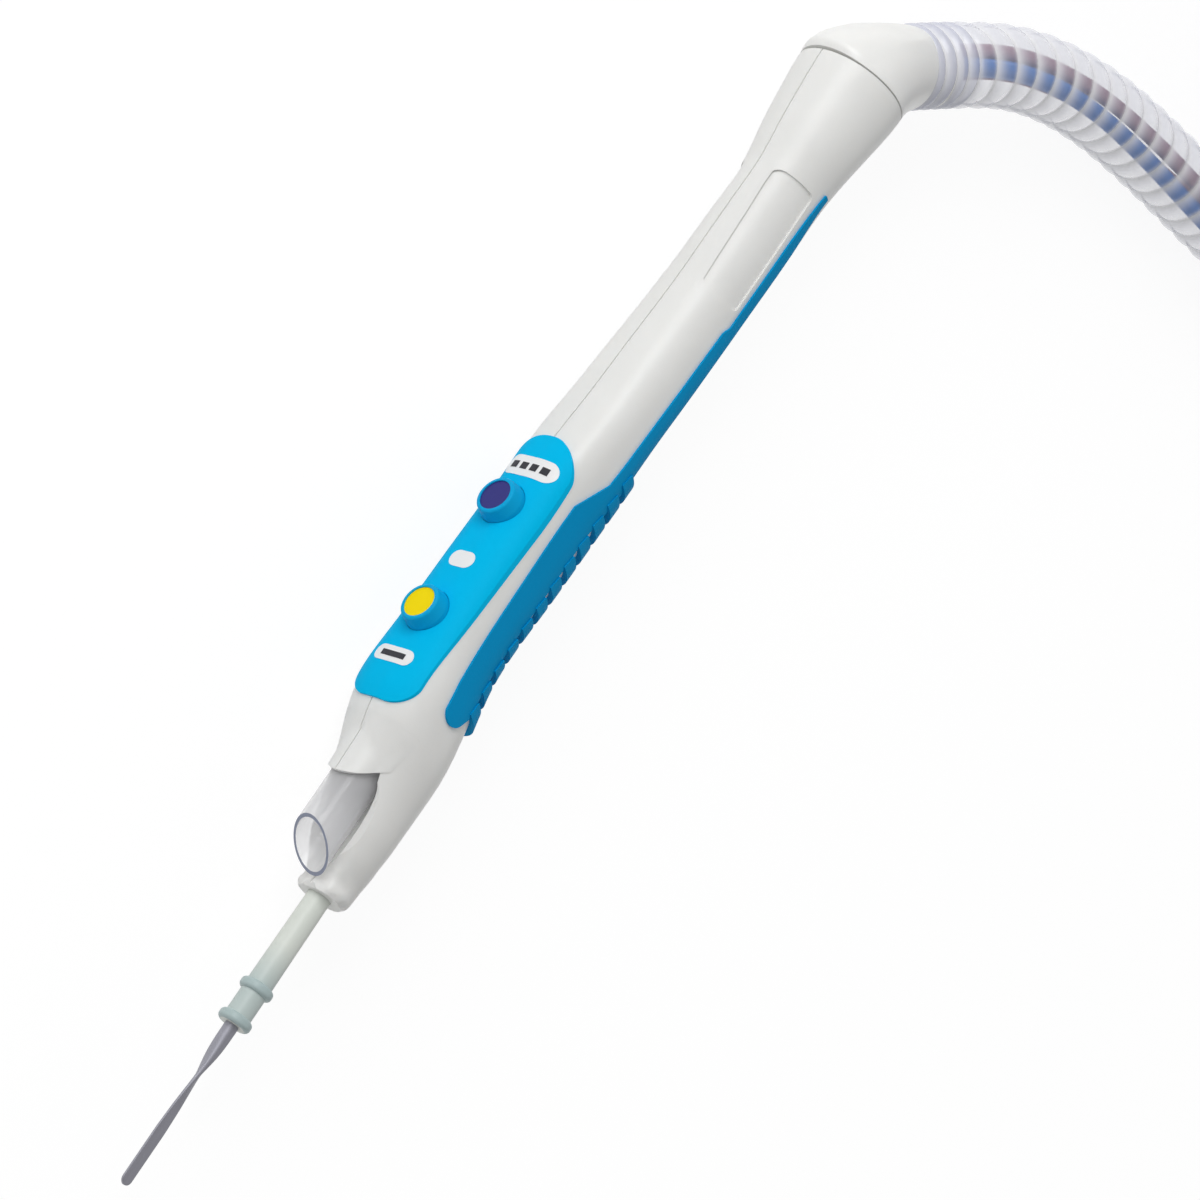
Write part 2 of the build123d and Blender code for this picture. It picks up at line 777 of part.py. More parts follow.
# Cable from the cuff's branch to the plug, looped inside the coil
cable_rest = cable_radius + 0.1
loop_reach = coil_radius - 22.0
loop_steps = 16
plug_rise = plug_thickness / 2 - cable_rest
plug_points = [
    (-36.5, -32.4, 0.0),
    (-25.8, -41.4, 0.1),
    (-12.0, -43.8, 0.35),
    (1.2, -39.0, 0.7),
    (8.9, -29.8, 1.0),
    (10.6, -22.0, 1.0),
]
cable_route = [
    tuple(branch_plane.origin + branch_axis * (branch_length - 4)),
    tuple(branch_plane.origin + branch_axis * (branch_length + 14)),
    polar(62, loop_reach - 1, coil_top + 5),
    polar(86, loop_reach - 2, coil_top - 10),
    polar(110, loop_reach - 1.5, coil_top - 26),
    polar(135, loop_reach - 0.5, 6),
]
for step in range(loop_steps):
    cable_route.append(polar(160 + 27 * step, loop_reach - 0.6 * step, cable_rest))
for right, forward, rise in plug_points:
    height = cable_rest + rise * plug_rise
    cable_route.append((coil_centre[0] + right, coil_centre[1] + forward, height))
plug_cable = cord(cable_route, cable_radius)
save(plug_cable, "plug_cable")

# Three-pin plug
plug_origin = Vector(cable_route[-1])
plug_axis = plug_origin - Vector(cable_route[-2])
plug_axis = Vector(plug_axis.X, plug_axis.Y, 0).normalized()
plug_plane = Plane(origin=plug_origin, x_dir=plug_axis, z_dir=(0, 0, 1))
plug_half_width = pin_pitch + 4.5
with BuildPart() as plug_body:
    with BuildSketch(plug_plane.offset(-plug_thickness / 2)) as plug_outline:
        with BuildLine():
            Polyline(
                (0, 0.35 * plug_half_width),
                (0.45 * plug_length, 0.6 * plug_half_width),
                (0.60 * plug_length, plug_half_width),
                (plug_length, plug_half_width),
                (plug_length, -plug_half_width),
                (0.60 * plug_length, -plug_half_width),
                (0.45 * plug_length, -0.6 * plug_half_width),
                (0, -0.35 * plug_half_width),
                close=True,
            )
        make_face()
    extrude(amount=plug_thickness)
    fillet(plug_body.edges().filter_by(Axis.Z), radius=2.0)
save(plug_body, "plug_body")

with BuildPart() as plug_pins:
    with BuildSketch(Plane(origin=plug_plane.origin, x_dir=plug_plane.y_dir, z_dir=plug_axis).offset(plug_length)):
        with GridLocations(pin_pitch, 1, 3, 1):
            Circle(pin_radius)
    extrude(amount=pin_length)
    fillet(plug_pins.faces().sort_by(Axis(plug_origin, plug_axis))[-3:].edges(), radius=1.2)
save(plug_pins, "plug_pins")
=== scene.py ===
import math
import bmesh
import bpy
import numpy as np
from mathutils import Matrix, Vector


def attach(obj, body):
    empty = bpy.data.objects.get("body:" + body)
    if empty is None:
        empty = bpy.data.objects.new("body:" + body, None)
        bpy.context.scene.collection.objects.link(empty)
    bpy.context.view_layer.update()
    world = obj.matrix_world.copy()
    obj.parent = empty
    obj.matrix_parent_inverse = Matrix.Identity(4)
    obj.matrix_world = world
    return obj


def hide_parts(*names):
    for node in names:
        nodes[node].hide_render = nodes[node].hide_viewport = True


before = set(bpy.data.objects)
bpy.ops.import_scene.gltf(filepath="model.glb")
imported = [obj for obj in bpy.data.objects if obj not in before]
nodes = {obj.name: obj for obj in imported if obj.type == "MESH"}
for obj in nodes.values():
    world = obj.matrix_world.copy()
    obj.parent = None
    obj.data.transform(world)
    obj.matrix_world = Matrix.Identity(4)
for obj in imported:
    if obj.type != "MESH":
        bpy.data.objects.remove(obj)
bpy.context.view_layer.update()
scene = bpy.context.scene
scene.view_settings.view_transform = "Standard"

# Sizes of the solids, in mm, and the direction that the nozzle's cut end faces
MM = 0.001
NOSE_X, AXIS_Y, AXIS_Z = 63.5405, -1.7886, 9.8
HANDLE_LENGTH = 160.6
ELECTRODE_HEIGHT = -4.0
SHAFT_RADIUS = 1.19
SHAFT_END = 22.0
BLADE_TIP = -54.0
NOZZLE_HEIGHT = 3.75
NOZZLE_RADIUS = 4.0
NOZZLE_CUT = (0.781, -0.625, 0.0)
HOSE_RADIUS = 7.2
CABLE_RADIUS = 2.25


def at(distance, height, left=0.0):
    """World point in metres, from mm behind the nose, towards the buttons and to the left."""
    return Vector((NOSE_X - distance, AXIS_Y - height, AXIS_Z + left)) * MM


def link(obj):
    scene.collection.objects.link(obj)
    return obj


# Camera, placed to give the photograph's view
camera_data = bpy.data.cameras.new("camera")
camera_data.sensor_width = 36
camera_data.lens = 170.4
camera_data.clip_start = 0.01
camera_data.clip_end = 20
camera = link(bpy.data.objects.new("camera", camera_data))
turn = Matrix((
    (-0.53334, 0.47216, 0.70186),
    (-0.78827, -0.57843, -0.20988),
    (0.30688, -0.66519, 0.68069),
)).transposed().to_4x4()
turn.translation = Vector((0.272963, -0.585973, 0.626254))
camera.matrix_world = turn
scene.camera = camera


# Materials
def linear(value):
    return value / 12.92 if value <= 0.04045 else ((value + 0.055) / 1.055) ** 2.4


def colour(red, green, blue):
    return (linear(red), linear(green), linear(blue), 1.0)


def new_material(name):
    """A new material with its node tree and its shader."""
    mat = bpy.data.materials.new(name)
    mat.use_nodes = True
    return mat, mat.node_tree, mat.node_tree.nodes["Principled BSDF"]


def spread(tree, source, low, high, first, last):
    """A value that goes from first to last while its source goes from low to high."""
    node = tree.nodes.new("ShaderNodeMapRange")
    node.inputs["From Min"].default_value = low
    node.inputs["From Max"].default_value = high
    node.inputs["To Min"].default_value = first
    node.inputs["To Max"].default_value = last
    tree.links.new(source, node.inputs["Value"])
    return node.outputs["Result"]


def larger(tree, first, second):
    node = tree.nodes.new("ShaderNodeMath")
    node.operation = "MAXIMUM"
    tree.links.new(first, node.inputs[0])
    tree.links.new(second, node.inputs[1])
    return node.outputs["Value"]


def tint(tree, shader, source, first, last, low=0.0, high=1.0):
    """Base colour that goes from first to last while its source goes from low to high."""
    ramp = tree.nodes.new("ShaderNodeValToRGB")
    for stop, position, shade in zip(ramp.color_ramp.elements, (low, high), (first, last)):
        stop.position = position
        stop.color = shade
    tree.links.new(source, ramp.inputs["Fac"])
    tree.links.new(ramp.outputs["Color"], shader.inputs["Base Color"])


def noise(tree, source, scale, detail):
    node = tree.nodes.new("ShaderNodeTexNoise")
    node.inputs["Scale"].default_value = scale
    node.inputs["Detail"].default_value = detail
    tree.links.new(source, node.inputs["Vector"])
    return node.outputs["Fac"]


def gloss(tree, shader, source, low, high):
    tree.links.new(spread(tree, source, 0.0, 1.0, low, high), shader.inputs["Roughness"])


def relief(tree, shader, source, strength, depth):
    node = tree.nodes.new("ShaderNodeBump")
    node.inputs["Strength"].default_value = strength
    node.inputs["Distance"].default_value = depth
    tree.links.new(source, node.inputs["Height"])
    tree.links.new(node.outputs["Normal"], shader.inputs["Normal"])


def object_place(tree):
    return tree.nodes.new("ShaderNodeTexCoord").outputs["Object"]


def darker(shade, share):
    return tuple(c * share for c in shade[:3]) + (1.0,)


def plastic(name, rgb, roughness=0.4, grain=2200.0, bump=0.04, tone=0.05, specular=0.5, subsurface=0.0):
    """Moulded plastic: fine grain in the bump and a faint change of tone and gloss over the surface."""
    mat, tree, shader = new_material(name)
    place = object_place(tree)
    if tone:
        base = colour(*rgb)
        tint(tree, shader, noise(tree, place, 60, 4), darker(base, 1 - tone), base, 0.3, 0.7)
    fine = noise(tree, place, grain, 2)
    gloss(tree, shader, fine, roughness - 0.05, roughness + 0.07)
    relief(tree, shader, fine, bump, 0.2 * MM)
    shader.inputs["Specular IOR Level"].default_value = specular
    shader.inputs["Subsurface Weight"].default_value = subsurface
    shader.inputs["Subsurface Radius"].default_value = (2.0 * MM, 1.8 * MM, 1.6 * MM)
    shader.inputs["Subsurface Scale"].default_value = 1.0
    return mat


def flow_marks(tree, shader, roughness):
    """Faint flow marks in the gloss of a clear moulding."""
    gloss(tree, shader, noise(tree, object_place(tree), 400, 3), roughness * 0.6, roughness * 1.4)


def clear_tube(name, face, rim_painted_shade, roughness, cut):
    """Clear tube: faint face on, denser at a slant, and darkened on its cut end by painted shade."""
    mat, tree, shader = new_material(name)
    slant = tree.nodes.new("ShaderNodeLayerWeight")
    place = tree.nodes.new("ShaderNodeTexCoord")
    towards = tree.nodes.new("ShaderNodeVectorMath")
    towards.operation = "DOT_PRODUCT"
    towards.inputs[1].default_value = cut
    tree.links.new(place.outputs["Normal"], towards.inputs[0])
    # Painted shade: the cut end takes the dark rim colour and more opacity.
    end = spread(tree, towards.outputs["Value"], 0.9, 0.97, 0.0, 1.0)
    tint(tree, shader, end, colour(*face), colour(*rim_painted_shade))
    edge = spread(tree, slant.outputs["Facing"], 0.35, 1.0, 0.3, 0.58)
    tree.links.new(larger(tree, edge, end), shader.inputs["Alpha"])
    flow_marks(tree, shader, roughness)
    return mat


def clear_hose(name, crest_painted_shade, valley, roughness):
    """Thin clear hose wall: its ribs set its tint, a lilac-grey painted shade on the ribs and a white painted
    highlight in the valleys, and what shows through, and a slant hides more.
    """
    mat, tree, shader = new_material(name)
    rib = tree.nodes.new("ShaderNodeAttribute")
    rib.attribute_name = "rib"
    # Painted shade and highlight: lilac-grey on the ribs, white lines in the valleys.
    tint(tree, shader, rib.outputs["Fac"], colour(*valley), colour(*crest_painted_shade))
    slant = tree.nodes.new("ShaderNodeLayerWeight")
    hides = tree.nodes.new("ShaderNodeAttribute")
    hides.attribute_name = "cover"
    edge = spread(tree, slant.outputs["Facing"], 0.4, 1.0, 0.0, 0.75)
    inside = tree.nodes.new("ShaderNodeNewGeometry")
    shown = tree.nodes.new("ShaderNodeMath")
    shown.operation = "MULTIPLY"
    tree.links.new(larger(tree, hides.outputs["Fac"], edge), shown.inputs[0])
    tree.links.new(spread(tree, inside.outputs["Backfacing"], 0.0, 1.0, 1.0, 0.1), shown.inputs[1])
    tree.links.new(shown.outputs["Value"], shader.inputs["Alpha"])
    flow_marks(tree, shader, roughness)
    return mat


def two_tone(name, inner, outer, centre, radius, roughness):
    """Moulded plastic whose colour changes past a radius from an axis along X."""
    mat = plastic(name, inner, roughness=roughness, tone=0.0)
    tree = mat.node_tree
    off = tree.nodes.new("ShaderNodeVectorMath")
    off.operation = "SUBTRACT"
    off.inputs[1].default_value = centre
    tree.links.new(object_place(tree), off.inputs[0])
    flat = tree.nodes.new("ShaderNodeVectorMath")
    flat.operation = "MULTIPLY"
    flat.inputs[1].default_value = (0, 1, 1)
    tree.links.new(off.outputs["Vector"], flat.inputs[0])
    reach = tree.nodes.new("ShaderNodeVectorMath")
    reach.operation = "LENGTH"
    tree.links.new(flat.outputs["Vector"], reach.inputs[0])
    past = spread(tree, reach.outputs["Value"], radius, radius * 1.04, 0.0, 1.0)
    tint(tree, tree.nodes["Principled BSDF"], past, colour(*inner), colour(*outer))
    return mat


def metal(name, rgb, roughness, metallic=1.0):
    """Metal with fine drawn lines along X."""
    mat, tree, shader = new_material(name)
    shader.inputs["Metallic"].default_value = metallic
    stretch = tree.nodes.new("ShaderNodeMapping")
    stretch.inputs["Scale"].default_value = (0.06, 1, 1)
    tree.links.new(object_place(tree), stretch.inputs["Vector"])
    lines = noise(tree, stretch.outputs["Vector"], 3000, 3)
    base = colour(*rgb)
    tint(tree, shader, lines, darker(base, 0.8), base)
    gloss(tree, shader, lines, roughness - 0.06, roughness + 0.08)
    relief(tree, shader, lines, 0.06, 0.1 * MM)
    return mat


shell_white = plastic("shell_white", (0.95, 0.95, 0.94), roughness=0.38, subsurface=0.1)
elbow_white = plastic("elbow_white", (0.985, 0.985, 0.975), roughness=0.3, subsurface=0.1)
panel_blue = plastic(
    "panel_blue", (0.0, 0.76, 0.96), roughness=0.55, bump=0.08, tone=0.04, specular=0.04
)
grip_blue = plastic("grip_blue", (0.0, 0.6, 0.83), roughness=0.55, bump=0.12, tone=0.05, specular=0.05)
button_blue = plastic("button_blue", (0.0, 0.68, 0.9), roughness=0.5, bump=0.06, specular=0.12)
disc_yellow = plastic("disc_yellow", (1.0, 0.89, 0.0), roughness=0.4, tone=0.02, specular=0.1)
disc_navy = plastic("disc_navy", (0.18, 0.18, 0.5), roughness=0.35, tone=0.05, specular=0.25)
pill_white = plastic("pill_white", (0.97, 0.97, 0.97), roughness=0.4, tone=0.02)
legend_ink = plastic("legend_ink", (0.12, 0.12, 0.16), roughness=0.5, tone=0.05)
sleeve_grey = two_tone(
    "sleeve_grey", (0.89, 0.91, 0.88), (0.71, 0.78, 0.78),
    centre=at(0, ELECTRODE_HEIGHT), radius=2.1 * MM, roughness=0.4,
)
tray_black = plastic("tray_black", (0.16, 0.16, 0.17), roughness=0.55)
board_green = plastic("board_green", (0.05, 0.36, 0.2), roughness=0.4)
wire_red = plastic("wire_red", (0.75, 0.12, 0.1), roughness=0.4)
lead_blue = plastic("lead_blue", (0.0, 0.46, 0.8), roughness=0.35, specular=0.2)
lead_brown = plastic("lead_brown", (0.68, 0.54, 0.58), roughness=0.4, specular=0.2)
cable_blue = plastic("cable_blue", (0.06, 0.55, 0.83), roughness=0.38)
plug_blue = plastic("plug_blue", (0.07, 0.45, 0.74), roughness=0.45, bump=0.1)
cuff_white = plastic("cuff_white", (0.88, 0.9, 0.92), roughness=0.35, subsurface=0.15)
tie_white = plastic("tie_white", (0.93, 0.93, 0.95), roughness=0.6, bump=0.15, grain=1500.0)
# The nozzle's dark grey-blue rim colour is painted shade on its cut end.
nozzle_clear = clear_tube("nozzle_clear", (0.97, 0.97, 0.98), (0.56, 0.59, 0.68), 0.08, NOZZLE_CUT)
# Hose tint: lilac-grey painted shade on the ribs, white painted highlight in the valleys.
hose_clear = clear_hose("hose_clear", (0.79, 0.8, 0.87), (0.97, 0.97, 0.98), 0.22)
blade_steel = metal("blade_steel", (0.66, 0.66, 0.7), 0.5, metallic=0.5)
brass = metal("brass", (0.9, 0.78, 0.5), 0.25)
dome_steel = metal("dome_steel", (0.8, 0.8, 0.8), 0.25)

finishes = {
    "left_shell": shell_white, "right_shell": shell_white, "swivel_elbow": elbow_white,
    "button_panel": panel_blue, "left_grip": grip_blue, "right_grip": grip_blue,
    "cut_button": button_blue, "coag_button": button_blue,
    "cut_button_disc": disc_yellow, "coag_button_disc": disc_navy,
    "switch_tray": tray_black, "switch_board": board_green,
    "cut_dome": dome_steel, "coag_dome": dome_steel,
    "electrode_socket": brass, "active_wire": wire_red, "handle_lead": lead_blue,
    "smoke_nozzle": nozzle_clear, "electrode_blade": blade_steel, "electrode_sleeve": sleeve_grey,
    "front_tie": tie_white, "rear_tie": tie_white, "end_cuff": cuff_white,
    "plug_body": plug_blue, "plug_pins": brass,
    "hose": hose_clear, "hose_coil": hose_clear, "hose_tail": hose_clear,
    "hose_lead": lead_blue, "plug_cable": cable_blue,
}
for name, mat in finishes.items():
    slots = nodes[name].data.materials
    slots.clear()
    slots.append(mat)


# Cords
def smooth_curve(name, points, resolution):
    """Smooth curve along a route that is given in mm."""
    curve = bpy.data.curves.new(name, "CURVE")
    curve.dimensions = "3D"
    curve.resolution_u = resolution
    spline = curve.splines.new("NURBS")
    spline.points.add(len(points) - 1)
    for knot, point in zip(spline.points, points):
        knot.co = (point[0] * MM, point[1] * MM, point[2] * MM, 1)
    spline.order_u = 3
    spline.use_endpoint_u = True
    return curve


def route_line(points):
    """Points read from the smooth curve along a route, in metres."""
    curve = smooth_curve("route", points, 12)
    holder = bpy.data.objects.new("route", curve)
    mesh = bpy.data.meshes.new_from_object(holder)
    line = np.array([v.co for v in mesh.vertices], float)
    bpy.data.meshes.remove(mesh)
    bpy.data.objects.remove(holder)
    bpy.data.curves.remove(curve)
    return line


def travel(line):
    """Distance along a line at each of its points."""
    return np.concatenate([[0], np.cumsum(np.linalg.norm(np.diff(line, axis=0), axis=1))])


def frames(line, stations):
    """Places along a line with two directions across it that don't twist."""
    along = travel(line)
    places = np.stack([np.interp(stations, along, line[:, k]) for k in range(3)], axis=1)
    tangents = np.gradient(places, axis=0)
    tangents /= np.linalg.norm(tangents, axis=1)[:, None]
    first = np.cross(tangents[0], (0, 0, 1))
    first /= np.linalg.norm(first)
    across = [first]
    for tangent in tangents[1:]:
        side = across[-1] - tangent * (across[-1] @ tangent)
        across.append(side / np.linalg.norm(side))
    across = np.array(across)
    return places, across, np.cross(tangents, across)


def tube(places, across, up, radii, sides, verts, faces):
    """Adds rings of the given radii, joined into a tube, to lists of corners and faces."""
    start = len(verts)
    angles = np.arange(sides) * 2 * math.pi / sides
    for place, a, b, radius in zip(places, across, up, radii):
        for angle in angles:
            verts.append(place + radius * (math.cos(angle) * a + math.sin(angle) * b))
    for ring in range(len(places) - 1):
        for side in range(sides):
            here = start + ring * sides
            there = here + sides
            after = (side + 1) % sides
            faces.append((here + side, here + after, there + after, there + side))


def mesh_piece(name, verts, faces, mats, picks=None):
    mesh = bpy.data.meshes.new(name)
    mesh.from_pydata([tuple(v) for v in verts], [], faces)
    for mat in mats:
        mesh.materials.append(mat)
    if picks is not None:
        mesh.polygons.foreach_set("material_index", picks)
    mesh.polygons.foreach_set("use_smooth", [True] * len(faces))
    mesh.update()
    return link(bpy.data.objects.new(name, mesh))


def ease(share):
    share = min(1.0, max(0.0, share))
    return share * share * (3 - 2 * share)


# Where the hose leaves the elbow, and the middle of its coil
EXIT = (-108.0355, 6.0514)
COIL = (EXIT[0] - 130.5, EXIT[1] + 126.9)


def polar(angle, reach, height):
    turn_to = math.radians(angle)
    return (COIL[0] + reach * math.cos(turn_to), COIL[1] + reach * math.sin(turn_to), height)


# The first stretch, as the photograph shows it, and on to the coil
hose_steps = [
    (0.0, 0.0, 9.8), (-9.6, 10.5, 9.8), (-19.5, 23.5, 9.0), (-27.3, 40.8, 8.1),
    (-32.5, 60.9, 7.3), (-37.0, 88.4, 7.3), (-42.7, 117.9, 7.3), (-49.4, 148.7, 7.3),
]
hose_route = [(EXIT[0] + x, EXIT[1] + y, z) for x, y, z in hose_steps]

# The coil: six turns, two side by side in three layers. Each turn steps to its next place,
# given as its reach and height, in the same quarter.
places_in_coil = [
    (84.9, 8.4), (70.4, 8.4), (70.4, 22.8), (84.9, 22.8), (84.9, 37.2), (70.4, 37.2), (71.2, 51.7),
]
step_window = 60.0
step_lag = 17.5
first_step = 311.0
coil_start, coil_end, coil_points = 15.0, 2082.0, 24
angle = coil_start + 360 / coil_points
while angle < coil_end:
    reach, height = places_in_coil[0]
    for count, (near, far) in enumerate(zip(places_in_coil, places_in_coil[1:])):
        begins = first_step - count * step_lag + 360 * count
        share = ease((angle - begins) / step_window)
        reach += share * (far[0] - near[0])
        height += share * (far[1] - near[1])
    hose_route.append(polar(angle, reach, height))
    angle += 360 / coil_points
hose_end_steps = [
    (300, 72.5, 53.2), (320, 74, 55.2), (340, 75.3, 56.8), (357, 76, 57.3), (373, 77, 57.3),
]
hose_route += [polar(*step) for step in hose_end_steps]

hose_line = route_line(hose_route)
hose_length = travel(hose_line)[-1]
RIB_PITCH = 5.3 * MM
RIB_DEPTH = 0.9
# Closer, thicker ribs where the hose grips the elbow
END_PITCH = 2.8 * MM
END_LENGTH = 12.0 * MM


def rib_height(station):
    """How high the hose stands at a station, from 0 in a valley to 1 on a rib."""
    count = min(station, END_LENGTH) / END_PITCH + max(station - END_LENGTH, 0) / RIB_PITCH
    return abs(math.sin(math.pi * count)) ** 1.1


def cover(station):
    """How much the wall hides of what lies behind it: little on a rib, much in a valley, where the white
    painted highlight lies, and most near the elbow.
    """
    rib = rib_height(station)
    return max(0.92 - 0.54 * rib, 0.94 - 0.12 * rib - 0.7 * ease((station - 8.5 * MM) / (6.0 * MM)))


# Finer rings on the first stretch, which the photograph shows
near_end = 0.2
NEAR_SIDES, FAR_SIDES = 40, 16
stations = np.concatenate([
    np.arange(0, near_end, END_PITCH / 8),
    np.arange(near_end, hose_length, RIB_PITCH / 5),
])
places, across, up = frames(hose_line, stations)
verts, faces = [], []
split_at = int(np.searchsorted(stations, near_end))
ribs = [rib_height(s) for s in stations]
radii = [(HOSE_RADIUS - RIB_DEPTH * (1 - rib)) * MM for rib in ribs]
spans = ((slice(0, split_at + 1), NEAR_SIDES), (slice(split_at, None), FAR_SIDES))
for span, sides in spans:
    tube(places[span], across[span], up[span], radii[span], sides, verts, faces)
hose_piece = mesh_piece("ribbed_hose", verts, faces, [hose_clear])
for kind, values in (("rib", ribs), ("cover", [cover(s) for s in stations])):
    spots = np.concatenate([np.repeat(values[span], sides) for span, sides in spans])
    hose_piece.data.attributes.new(kind, "FLOAT", "POINT").data.foreach_set("value", spots)
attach(hose_piece, "hose_end")
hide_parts("hose", "hose_coil", "hose_tail")

# Three insulated strands twisted together inside the hose: each has its angle at the elbow,
# offset and radius in mm, and material
STRANDS = ((4.5, 2.0, 1.6, 0), (2.6, 2.2, 1.4, 1), (0.5, 3.2, 0.7, 1))
STRAND_LAY = 0.35
STRAND_STEP = 4.0 * MM
strand_stations = np.arange(STRAND_STEP, hose_length - STRAND_STEP, STRAND_STEP)
places, across, up = frames(hose_line, strand_stations)
verts, faces, picks = [], [], []
for turned, offset, thick, pick in STRANDS:
    phase = strand_stations / STRAND_LAY * 2 * math.pi + turned
    middle = places + offset * MM * (np.cos(phase)[:, None] * across + np.sin(phase)[:, None] * up)
    before = len(faces)
    tube(middle, across, up, [thick * MM] * len(middle), 8, verts, faces)
    picks += [pick] * (len(faces) - before)
lead_piece = mesh_piece("hose_strands", verts, faces, [lead_blue, lead_brown], picks)
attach(lead_piece, "hose_end")
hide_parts("hose_lead")

# Cable from the cuff to the plug
cuff_start = Vector(polar(13, 77, 57.3))
cuff_axis = (cuff_start - Vector(polar(-3, 76, 57.3))).normalized()
inward = Vector((-cuff_axis.y, cuff_axis.x, 0))
branch_axis = (inward * 0.9 + cuff_axis * 0.44).normalized()
branch = cuff_start + cuff_axis * 2.7
cable_route = [
    branch + branch_axis * 12, branch + branch_axis * 30,
    polar(62, 54, 49.6), polar(86, 53, 34.6), polar(110, 53.5, 18.6), polar(135, 54.5, 6),
]
cable_route += [polar(160 + 27 * i, 55 - 0.6 * i, 2.35) for i in range(16)]
# The last stretch rises from the floor to the plug: offsets from the coil's middle, and the rise
for x, y, rise in (
    (-36.5, -32.4, 0), (-25.8, -41.4, 0.1), (-12, -43.8, 0.35),
    (1.2, -39, 0.7), (8.9, -29.8, 1), (10.6, -22, 1),
):
    cable_route.append((COIL[0] + x, COIL[1] + y, 2.35 + 5.15 * rise))
cable_data = smooth_curve("plug_cord", cable_route, 8)
cable_data.bevel_depth = CABLE_RADIUS * MM
cable_data.bevel_resolution = 4
cable_data.use_fill_caps = True
cable_data.materials.append(cable_blue)
cable = link(bpy.data.objects.new("plug_cord", cable_data))
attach(cable, "hose_end")
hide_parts("plug_cable")
cable_length = travel(route_line(cable_route))[-1]


# Hood that closes the trough's rear above the nozzle, with a straight edge
def skin_reach(distance, angle):
    """How far the shell's skin stands from the nozzle's axis in a direction, in mm."""
    towards = Vector((0, -math.cos(angle), math.sin(angle)))
    outside = 30
    start = at(distance, NOZZLE_HEIGHT) + towards * outside * MM
    hits = [nodes[shell].ray_cast(start, -towards) for shell in ("left_shell", "right_shell")]
    return outside - min((spot - start).length for found, spot, _, _ in hits if found) / MM


def hood(name, side):
    """One half of a brow over the nozzle that runs smoothly into the shell's skin behind it."""
    shares = np.linspace(0, 1, 15)
    degrees = np.concatenate([[1.0], np.arange(4.0, 85.0, 4.0)])
    inner = NOZZLE_RADIUS + 0.25
    top_lip = 16.0
    casts = (23.0, 24.0, 25.0, 26.4)
    verts, faces = [], []
    for degree in degrees:
        angle = side * math.radians(degree)
        skin = [skin_reach(cast, angle) for cast in casts]
        lip = top_lip + 2.0 * (degree / 60) ** 2
        under = inner + 1.0 * ease((degree - 54) / 26)
        for share in shares:
            row = lip + (casts[-1] - lip) * share
            behind = np.interp(row, casts, skin) - max(0.0, casts[0] - row) * (skin[1] - skin[0])
            brow = inner + 0.62 + 0.03 * (row - top_lip)
            reach = (behind + brow + math.hypot(behind - brow, 0.3)) / 2
            for r in (max(reach, under + 0.03), under):
                verts.append(at(row, NOZZLE_HEIGHT + r * math.cos(angle), r * math.sin(angle)))
    step = 2 * len(shares)
    for j in range(len(degrees) - 1):
        for i in range(len(shares) - 1):
            a = j * step + 2 * i
            faces.append((a, a + 2, a + step + 2, a + step)[::side])
            faces.append((a + 1, a + step + 1, a + step + 3, a + 3)[::side])
        for a, flip in ((j * step, 1), (j * step + step - 2, -1)):
            faces.append((a, a + step, a + step + 1, a + 1)[::flip * side])
    for base, flip in ((0, 1), ((len(degrees) - 1) * step, -1)):
        for i in range(len(shares) - 1):
            a = base + 2 * i
            faces.append((a, a + 1, a + 3, a + 2)[::flip * side])
    piece = mesh_piece(name, verts, faces, [shell_white])
    piece.data.set_sharp_from_angle(angle=math.radians(40))
    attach(piece, "handle")


hood("left_hood", 1)
hood("right_hood", -1)


# Fuller forms of some moulded pieces
def reshape(name, body, move, cuts=0):
    """A copy of a node with its corners moved, and its edges cut finer, which stands for the node."""
    mesh = nodes[name].data.copy()
    if "custom_normal" in mesh.attributes:
        mesh.attributes.remove(mesh.attributes["custom_normal"])
    if cuts:
        grid = bmesh.new()
        grid.from_mesh(mesh)
        bmesh.ops.remove_doubles(grid, verts=grid.verts, dist=0.001 * MM)
        long_edges = [edge for edge in grid.edges if edge.calc_length() > 0.8 * MM]
        bmesh.ops.subdivide_edges(grid, edges=long_edges, cuts=cuts, use_grid_fill=True)
        bmesh.ops.triangulate(grid, faces=[face for face in grid.faces if len(face.verts) > 4])
        grid.to_mesh(mesh)
        grid.free()
    flat = np.empty(3 * len(mesh.vertices), np.float32)
    mesh.vertices.foreach_get("co", flat)
    places = flat.reshape(-1, 3) / MM
    far = np.stack([NOSE_X - places[:, 0], AXIS_Y - places[:, 1], places[:, 2] - AXIS_Z], axis=1)
    far = move(far)
    moved = np.stack([NOSE_X - far[:, 0], AXIS_Y - far[:, 1], far[:, 2] + AXIS_Z], axis=1) * MM
    mesh.vertices.foreach_set("co", moved.astype(np.float32).ravel())
    mesh.polygons.foreach_set("use_smooth", [True] * len(mesh.polygons))
    mesh.set_sharp_from_angle(angle=math.radians(32))
    mesh.update()
    piece = link(bpy.data.objects.new(name + "_form", mesh))
    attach(piece, body)
    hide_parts(name)


